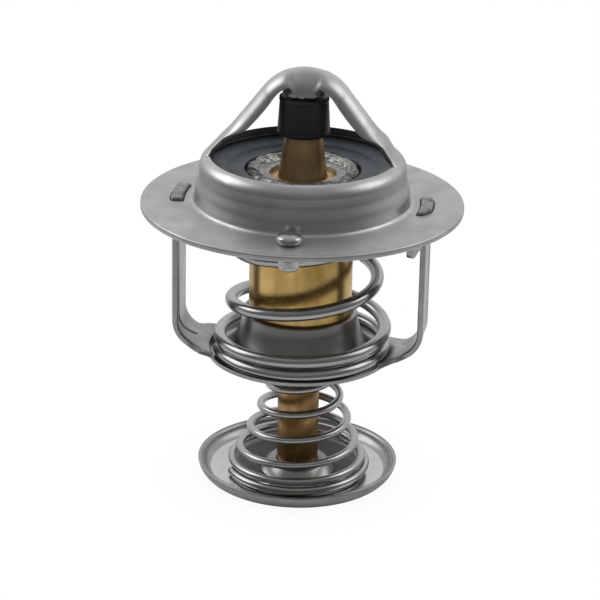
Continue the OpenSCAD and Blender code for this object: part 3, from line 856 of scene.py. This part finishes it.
class THERMOSTAT_OT_main_valve(bpy.types.Operator):
    """Valve plate and the ring that is rolled over the guide's foot"""

    bl_idname = "thermostat.main_valve"
    bl_label = "Main valve"

    def execute(self, context):
        edge, high, under = reach("main_valve_plate"), top("main_valve_plate"), low("main_valve_plate")
        flat, t, hole = under + 1.8, 0.9, 7.7
        plate = turned("valve_plate", rounded([
            (hole, under, 0.1), (9.6, under, 0.2), (10.0, under + t, 0.2), (12.5, under + t, 0.5),
            (edge, high - t, 0.2), (edge, high - 0.1, 0.2), (edge - 0.3, high, 0.2), (12.3, flat, 0.3),
            (9.4, flat, 0.2), (9.1, flat - t, 0.1), (hole, flat - t, 0.1)]))
        # The plate's near-black colour is painted shade under the dome
        place(plate, "element", "plate_steel", "slate grey steel", "main_valve_plate")
        foot, base, shelf, ledge = 4.0, 4.6, 4.8, 7.65
        outline = rounded([
            (5.3, foot, 0.1), (ledge, foot, 0.05), (ledge, base, 0.02), (8.95, base, 0.05),
            (8.95, 5.2, 0.3), (8.5, 5.6, 0.35), (7.7, 5.62, 0.35), (7.15, 5.3, 0.25),
            (6.95, shelf, 0.25), (5.3, shelf, 0.3)])
        ring = turned("rolled_ring", resampled(outline, 0.12), sides=360, warp=rolled)
        place(ring, "element", "crimped_steel", "rolled steel", "crimp_ring")
        return {"FINISHED"}


# Wax element

class THERMOSTAT_OT_wax_element(bpy.types.Operator):
    """Brass cup, brown brass guide and the black boot on top of it"""

    bl_idname = "thermostat.wax_element"
    bl_label = "Wax element"

    def execute(self, context):
        r, bottom, mouth = reach("wax_cup"), low("wax_cup"), top("wax_cup")
        inner, depth = r - 0.63, mouth - 1.6
        cup = turned("brass_cup", rounded([
            (0, bottom, 0), (r, bottom, 2.9), (r, mouth, 0.2), (inner, mouth, 0.2), (inner, depth, 0),
            (0, depth, 0)], 12), closed=False, sides=200)
        place(cup, "element", "cup_brass", "streaked brass", "wax_cup")
        foot, high, bore = low("piston_guide"), top("piston_guide"), 2.07
        guide = turned("brass_guide", rounded([
            (7.65, foot, 0.1), (7.65, foot + 1.1, 0.1), (3.95, foot + 1.1, 0.25), (3, 11.2, 1.2),
            (3, high, 0.1), (bore, high, 0.1), (bore, foot, 0.1)]))
        place(guide, "element", "guide_brass", "brown brass", "piston_guide")
        foot, peak, roof = low("guide_cap"), top("guide_cap"), high + 0.02
        boot = turned("guide_boot", rounded([
            (3.05, foot, 0.08), (4.15, foot, 0.15), (4.22, foot + 0.3, 0.3), (3.93, peak - 0.95, 0.12),
            (3.84, peak - 0.75, 0.08), (4.0, peak - 0.55, 0.12), (3.98, peak - 0.1, 0.15),
            (3.75, peak, 0.15), (2.1, peak, 0.15), (2.1, roof, 0.1), (3.05, roof, 0.1)]))
        place(boot, "element", "black_rubber", "black rubber", "guide_cap")
        return {"FINISHED"}


# Bypass valve

def shaded_lip_and_hub(middle, outward):
    """True for the disc's hub, for its lip and for the faces under the lip that look outwards, which get
    painted shade.
    """
    hub, bend, lip, outwards = 6.6, 13.4, 14.4, 0.35
    r = radius(middle)
    looks_out = (middle[:, :2] * outward[:, :2]).sum(1) > outwards * r
    return (r < hub) | (r > lip) | ((r > bend) & looks_out)


class THERMOSTAT_OT_bypass(bpy.types.Operator):
    """Stem, spring seat and the dished disc of the bypass valve"""

    bl_idname = "thermostat.bypass"
    bl_label = "Bypass valve"

    def execute(self, context):
        floor, edge, t, corner, lip_high = low("bypass_disc"), reach("bypass_disc"), 0.8, 3.0, 2.6
        a = np.linspace(-math.pi / 2, math.radians(-6), 18)[:, None]
        spoke = np.concatenate([np.cos(a), np.sin(a)], 1)
        outer = np.array([edge - corner, floor + corner]) + corner * spoke
        inner = np.array([edge - corner, floor + corner]) + (corner - t) * spoke[::-1]
        lip = rounded([
            (*outer[-1], 0), (edge, floor + lip_high, 0.12), (edge - 0.5, floor + lip_high, 0.15),
            (edge - 0.72, floor + 2.3, 0.3)])[9:]
        hub, bore = -45.4, 3.48
        hub_ring = rounded([
            (6.5, floor + t, 1.0), (4.9, hub, 0.9), (bore, hub, 0.1), (bore, hub - t, 0.1),
            (4.2, hub - t, 0.8), (5.9, floor, 0.9)], 12)
        disc = turned("bypass_dish", np.concatenate([outer, lip, inner[1:], hub_ring]), sides=240)
        place(disc, "bypass", "disc_steel", "bright disc steel", "bypass_disc")
        # Lip and hub get a darker copy of the same steel as painted shade
        repaint(disc, "dull disc steel", shaded_lip_and_hub)
        r, root, neck, foot, tail = 3.4, -21.7, -26.4, -47.0, -47.4
        groove, groove_high, groove_low = 2.85, -46.15, -46.75
        stem = turned("brass_stem", rounded([
            (0, tail, 0), (3.0, tail, 0.1), (r, foot, 0.1), (r, groove_low, 0.05),
            (groove, groove_low, 0.05), (groove, groove_high, 0.05), (r, groove_high, 0.05),
            (r, neck, 0.1), (4.6, neck, 0.2), (4.6, root, 0.1), (0, root, 0)]), closed=False)
        place(stem, "element", "stem_brass", "stem brass", "bypass_stem")
        hole, rim, under = 3.42, 5.6, -27.2
        seat = turned("seat_washer", rounded([
            (hole, under, 0.1), (rim, under, 0.25), (rim, neck, 0.25), (hole, neck, 0.1)]))
        place(seat, "element", "disc_steel", "bright disc steel", "spring_seat")
        return {"FINISHED"}


# Vent pin

class THERMOSTAT_OT_vent_pin(bpy.types.Operator):
    """Loose pin in the flange's vent hole, with the weight under the flange"""

    bl_idname = "thermostat.vent_pin"
    bl_label = "Vent pin"

    def execute(self, context):
        offset, a = sizes()["pin_offset"], math.radians(1.7)
        centre = (offset * math.sin(a), -offset * math.cos(a))
        foot, seat, head_top, r = low("jiggle_pin"), 0.02, 1.7, 0.65
        pin = rounded([
            (0, foot, 0), (r, foot, 0.1), (r, seat, 0.05), (1.7, seat, 0.25), (2.13, 0.7, 0.5),
            (1.9, 1.25, 0.5), (1.0, head_top, 0.8), (0, head_top, 0)])
        high, hole, wide = top("jiggle_weight"), 0.66, 1.65
        weight = rounded([
            (hole, foot, 0.05), (1.3, foot, 0.2), (wide, foot + 0.4, 0.2), (wide, high - 0.4, 0.2),
            (1.2, high, 0.2), (hole, high, 0.05)])
        for name, outline, closed, node in (
                ("vent_pin_head", pin, False, "jiggle_pin"),
                ("vent_pin_weight", weight, True, "jiggle_weight")):
            piece = turned(name, outline, closed, sides=64, centre=centre)
            place(piece, "vent_pin", "pin_steel", "bright pin steel", node)
        return {"FINISHED"}


# Frame parts that keep their own shape

class THERMOSTAT_OT_frame_parts(bpy.types.Operator):
    """Finishes for the piston, the clip and the parts inside the cup, whose shape is already right"""

    bl_idname = "thermostat.frame_parts"
    bl_label = "Frame parts"

    def execute(self, context):
        for node, look in (
                ("piston", "ground steel"), ("stem_clip", "clip steel"), ("seal_sleeve", "sleeve rubber"),
                ("backup_washer", "white washer"), ("wax_charge", "wax")):
            mesh = frame["nodes"][node].data
            mesh.materials.clear()
            mesh.materials.append(finish(look))
        return {"FINISHED"}


# Stage

def make_world():
    """White to the camera. Shiny surfaces see a backdrop behind the object that pales upwards, a grey
    ceiling and a dark room on the camera's side: the strength is the product of a step in Y and a step
    in Z, or a second step in Z where that is more. The rest gets an even light."""
    even_light, white = 0.7, 1.0
    world = bpy.data.worlds.new("studio")
    bpy.context.scene.world = world
    world.use_nodes = True
    tree = world.node_tree
    tree.nodes.clear()
    split = add_node(tree, "SeparateXYZ", {"Vector": add_node(tree, "TexCoord", {})["Generated"]})
    backdrop = level(tree, split["Y"], (-0.5, 0.9), (0.20, 0.92))
    upwards = level(tree, split["Z"], (-0.30, 0.32), (0.50, 1.0))
    ceiling = level(tree, split["Z"], (0.3, 0.8), (0.0, 0.38))
    room = joined(tree, "MAXIMUM", joined(tree, "MULTIPLY", backdrop, upwards), ceiling)
    ray = add_node(tree, "LightPath", {})
    shiny = joined(tree, "MAXIMUM", ray["Is Glossy Ray"], ray["Is Transmission Ray"])
    plain = add_node(tree, "Mix", {"Factor": shiny, "A": even_light, "B": room})["Result"]
    seen = add_node(tree, "Mix", {"Factor": ray["Is Camera Ray"], "A": plain, "B": white})["Result"]
    background = add_node(tree, "Background", {"Color": (1, 1, 1, 1), "Strength": seen})
    add_node(tree, "OutputWorld", {"Surface": background["Background"]})


def make_floor(height):
    """Pale round floor that fades to white away from the object and is clear from below. It goes down
    with the wax element, so that it never cuts off the disc that the part stands on."""
    floor_radius, rings, sides = 150.0, 40, 96
    fade_start, fade_end = 0.024, 0.055
    r = np.linspace(0, floor_radius, rings)
    a = np.linspace(0, TURN, sides, endpoint=False)[:, None]
    points = at_angle(r, height + 0 * a + 0 * r, a)
    floor = make_mesh("floor", points, grid_faces(sides, rings, True), outward=False)
    made = bpy.data.materials.new("pale floor")
    made.use_nodes = True
    tree = made.node_tree
    shader = tree.nodes["Principled BSDF"]
    fill(tree, shader, {"Base Color": (0.86, 0.86, 0.86, 1), "Roughness": 0.6})
    away = add_node(tree, "VectorMath", {0: add_node(tree, "TexCoord", {})["Object"]}, operation="LENGTH")
    fade = level(tree, away["Value"], (fade_start, fade_end), (0.0, 1.0))
    seen = joined(tree, "MULTIPLY", fade, add_node(tree, "LightPath", {})["Is Camera Ray"])
    white = add_node(tree, "Emission", {})["Emission"]
    faded = add_node(tree, "MixShader", {"Fac": seen, 1: shader.outputs["BSDF"], 2: white})["Shader"]
    below = add_node(tree, "NewGeometry", {})["Backfacing"]
    clear = add_node(tree, "BsdfTransparent", {})["BSDF"]
    one_way = add_node(tree, "MixShader", {"Fac": below, 1: faded, 2: clear})["Shader"]
    fill(tree, tree.nodes["Material Output"], {"Surface": one_way})
    floor.data.materials.append(made)
    floor.parent = frame["bodies"]["element"]


def add_lamp(name, position, size, power):
    """Square soft lamp that faces the middle of the object."""
    lamp = bpy.data.lights.new(name, "AREA")
    lamp.size = size
    lamp.energy = power
    obj = bpy.data.objects.new(name, lamp)
    bpy.context.scene.collection.objects.link(obj)
    obj.location = position
    obj.rotation_euler = (LAMP_AIM - Vector(position)).to_track_quat("-Z", "Y").to_euler()


def add_camera(stage):
    """Camera at the photograph's angle, with the roll it was held at."""
    back = Vector((0, -math.cos(stage.elevation), math.sin(stage.elevation)))
    right = Vector((1, 0, 0))
    up = back.cross(right)
    rolled_right = right * math.cos(stage.roll) + up * math.sin(stage.roll)
    rolled_up = up * math.cos(stage.roll) - right * math.sin(stage.roll)
    turn = Matrix((rolled_right, rolled_up, back)).transposed().to_4x4()
    spot = Matrix.Translation(AIM + back * stage.distance)
    data = bpy.data.cameras.new("camera")
    data.lens = stage.lens
    data.sensor_width = 36
    data.clip_start = 0.01
    camera = bpy.data.objects.new("camera", data)
    bpy.context.scene.collection.objects.link(camera)
    camera.matrix_world = Matrix.Rotation(stage.azimuth, 4, "Z") @ spot @ turn
    bpy.context.scene.camera = camera


class THERMOSTAT_OT_stage(bpy.types.Operator):
    """Pale floor, plain studio light and the camera"""

    bl_idname = "thermostat.stage"
    bl_label = "Stage"

    def execute(self, context):
        make_world()
        make_floor(low("bypass_disc"))
        add_lamp("key_lamp", position=(-0.55, 0.08, 0.38), size=0.46, power=1.35)
        add_lamp("fill_lamp", position=(0.52, 0.10, 0.40), size=0.42, power=0.85)
        add_camera(context.scene.thermostat_stage)
        context.scene.view_settings.view_transform = "Standard"
        return {"FINISHED"}


STEPS = (THERMOSTAT_OT_housing, THERMOSTAT_OT_cage, THERMOSTAT_OT_springs, THERMOSTAT_OT_main_valve,
         THERMOSTAT_OT_wax_element, THERMOSTAT_OT_bypass, THERMOSTAT_OT_vent_pin,
         THERMOSTAT_OT_frame_parts, THERMOSTAT_OT_stage)


class THERMOSTAT_PT_panel(bpy.types.Panel):
    """Buttons for every piece, with the sizes and colours"""

    bl_idname = "THERMOSTAT_PT_panel"
    bl_label = "Thermostat"
    bl_space_type = "VIEW_3D"
    bl_region_type = "UI"
    bl_category = "Thermostat"

    def draw(self, context):
        for step in STEPS:
            self.layout.operator(step.bl_idname, text=step.bl_label)
        for group in GROUPS:
            values = getattr(context.scene, "thermostat_" + group)
            box = self.layout.box()
            for name in values.bl_rna.properties.keys():
                if name not in ("rna_type", "name"):
                    box.prop(values, name)


GROUPS = {"sizes": THERMOSTAT_PG_sizes, "colours": THERMOSTAT_PG_colours, "stage": THERMOSTAT_PG_stage}
CLASSES = (*GROUPS.values(), *STEPS, THERMOSTAT_PT_panel)


def register():
    """Adds the classes and the property groups."""
    for item in CLASSES:
        bpy.utils.register_class(item)
    for name, group in GROUPS.items():
        setattr(bpy.types.Scene, "thermostat_" + name, bpy.props.PointerProperty(type=group))


def unregister():
    """Takes the property groups and the classes away again."""
    for name in GROUPS:
        delattr(bpy.types.Scene, "thermostat_" + name)
    for item in reversed(CLASSES):
        bpy.utils.unregister_class(item)


def main():
    """Runs every step in order."""
    register()
    for step in STEPS:
        area, name = step.bl_idname.split(".")
        getattr(getattr(bpy.ops, area), name)()


if __name__ == "__main__":
    main()
